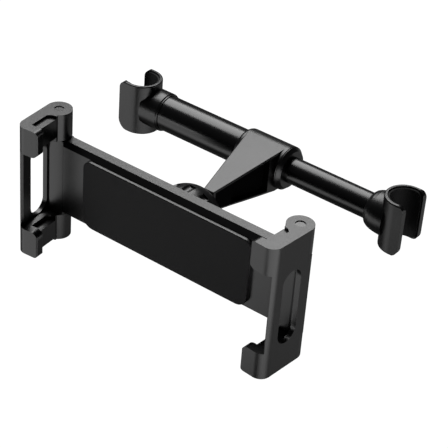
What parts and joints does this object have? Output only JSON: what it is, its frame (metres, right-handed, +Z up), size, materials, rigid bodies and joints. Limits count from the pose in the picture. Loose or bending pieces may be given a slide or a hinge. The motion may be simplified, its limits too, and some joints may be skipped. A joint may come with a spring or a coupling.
{
  "type": "headrest tablet mount",
  "caption": "Spring-loaded bar with two open hooks for headrest posts, and a ball-jointed holder whose folding claws grip a tablet.",
  "frame": {"origin": "on the axis of the left headrest post, at half the height of the hook around it", "axes": "+X along the telescopic bar, +Y from the holder towards the headrest posts, +Z up along the posts"},
  "size_m": [0.1855, 0.1244, 0.0758],
  "materials": {
    "black_plastic": "satin black moulded plastic",
    "rubber_black": "matt black rubber",
    "black_steel": "black coated steel tube",
    "bright_steel": "plain steel",
    "natural_plastic": "natural low-friction plastic"
  },
  "bodies": {
    "bar": {"outer_tube": "black_steel", "left_hook": "black_plastic", "left_hook_liner": "rubber_black", "arm_bracket": "black_plastic", "arm_screw": "black_steel", "guide_bush": "black_plastic", "ball_stud": "bright_steel", "bar_spring": "bright_steel"},
    "rod": {"inner_tube": "black_steel", "right_hook": "black_plastic", "right_hook_liner": "rubber_black", "piston": "natural_plastic"},
    "seat": {"seat_cup": "natural_plastic"},
    "nut": {"lock_nut": "black_plastic"},
    "holder": {"back_cover": "black_plastic", "front_cover": "black_plastic", "cover_screws": "bright_steel", "front_pad": "rubber_black", "left_spring": "bright_steel", "right_spring": "bright_steel"},
    "left_carriage": {"left_slide": "black_plastic"},
    "right_carriage": {"right_slide": "black_plastic"},
    "gear": {"pinion": "natural_plastic"},
    "left_jaw": {"left_claw": "black_plastic", "left_claw_pin": "black_steel", "left_upper_grip": "rubber_black", "left_lower_grip": "rubber_black"},
    "right_jaw": {"right_claw": "black_plastic", "right_claw_pin": "black_steel", "right_upper_grip": "rubber_black", "right_lower_grip": "rubber_black"}
  },
  "joints": [
    {"name": "bar_telescope", "type": "slide", "parent": "bar", "child": "rod", "axis": [1, 0, 0], "range_m": [-0.044, 0], "stiffness_N_per_m": 180, "springref_m": 0.02, "deforming": ["bar_spring"]},
    {"name": "ball_pan", "type": "hinge", "parent": "bar", "child": "seat", "pos_m": [0.0906, -0.0691, 0], "axis": [0, 0, 1], "range_deg": [-14, 14]},
    {"name": "ball_tilt", "type": "hinge", "parent": "seat", "child": "nut", "pos_m": [0.0906, -0.0691, 0], "axis": [1, 0, 0], "range_deg": [-14, 14]},
    {"name": "ball_roll", "type": "hinge", "parent": "nut", "child": "holder", "pos_m": [0.0906, -0.0691, 0], "axis": [0, 1, 0], "continuous": true},
    {"name": "left_slide_out", "type": "slide", "parent": "holder", "child": "left_carriage", "axis": [-1, 0, 0], "range_m": [0, 0.042], "stiffness_N_per_m": 60, "springref_m": -0.02, "deforming": ["left_spring", "right_spring"]},
    {"name": "right_slide_out", "type": "slide", "parent": "holder", "child": "right_carriage", "axis": [1, 0, 0], "range_m": [0, 0.042]},
    {"name": "pinion_turn", "type": "hinge", "parent": "holder", "child": "gear", "pos_m": [0.0906, -0.0856, 0], "axis": [0, -1, 0], "range_deg": [0, 344]},
    {"name": "left_claw_fold", "type": "hinge", "parent": "left_carriage", "child": "left_jaw", "pos_m": [0.0156, -0.0856, 0], "axis": [0, 0, 1], "range_deg": [0, 70]},
    {"name": "right_claw_fold", "type": "hinge", "parent": "right_carriage", "child": "right_jaw", "pos_m": [0.1656, -0.0856, 0], "axis": [0, 0, -1], "range_deg": [0, 70]}
  ],
  "couplings": [
    {"joint": "right_slide_out", "follows": "left_slide_out", "ratio": 1},
    {"joint": "pinion_turn", "follows": "left_slide_out", "rad_per_m": 142.86}
  ]
}
